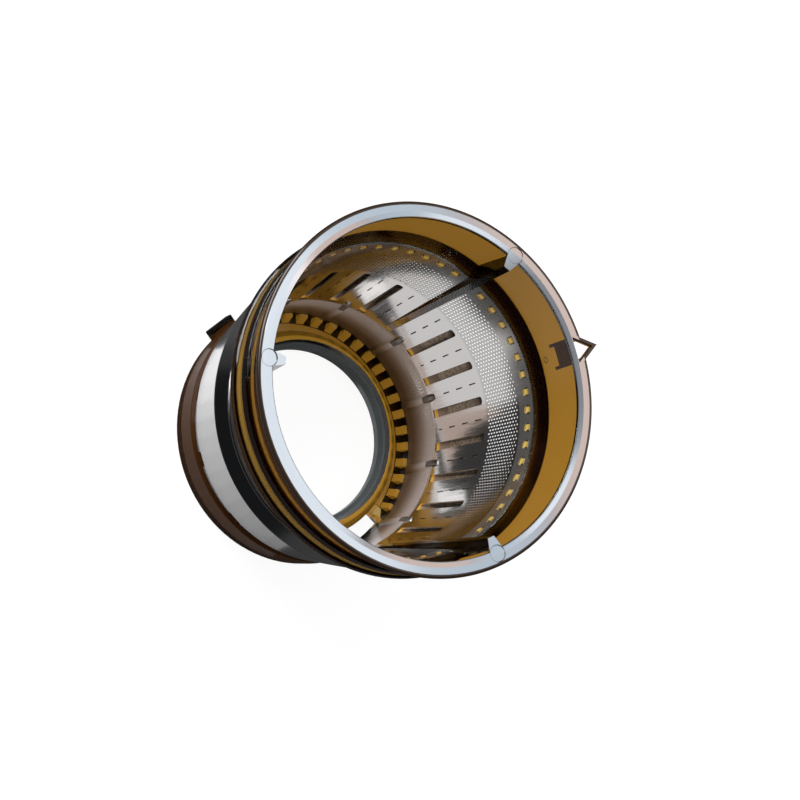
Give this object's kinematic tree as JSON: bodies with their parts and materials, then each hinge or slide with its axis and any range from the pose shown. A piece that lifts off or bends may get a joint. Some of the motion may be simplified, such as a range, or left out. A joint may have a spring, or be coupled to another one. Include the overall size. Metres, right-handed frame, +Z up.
{
  "type": "juicer mesh screen",
  "caption": "Round tapered strainer for a slow juicer: stainless perforated sieve moulded into an amber plastic frame with a rim, vanes, floor and pulp outlet.",
  "frame": {"origin": "centre of the lower edge of the bore in the floor; the foot that it stands on reaches 3.4 mm lower", "axes": "+Z up the screen's axis towards the mouth, +Y towards the positioning triangle of the rim, +X towards the pulp outlet"},
  "size_m": [0.108, 0.1134, 0.087],
  "materials": {
    "amber_plastic": "gloss",
    "stainless": "satin"
  },
  "bodies": {
    "root": {"frame": "amber_plastic", "screen": "stainless", "jacket": "stainless"}
  },
  "joints": []
}
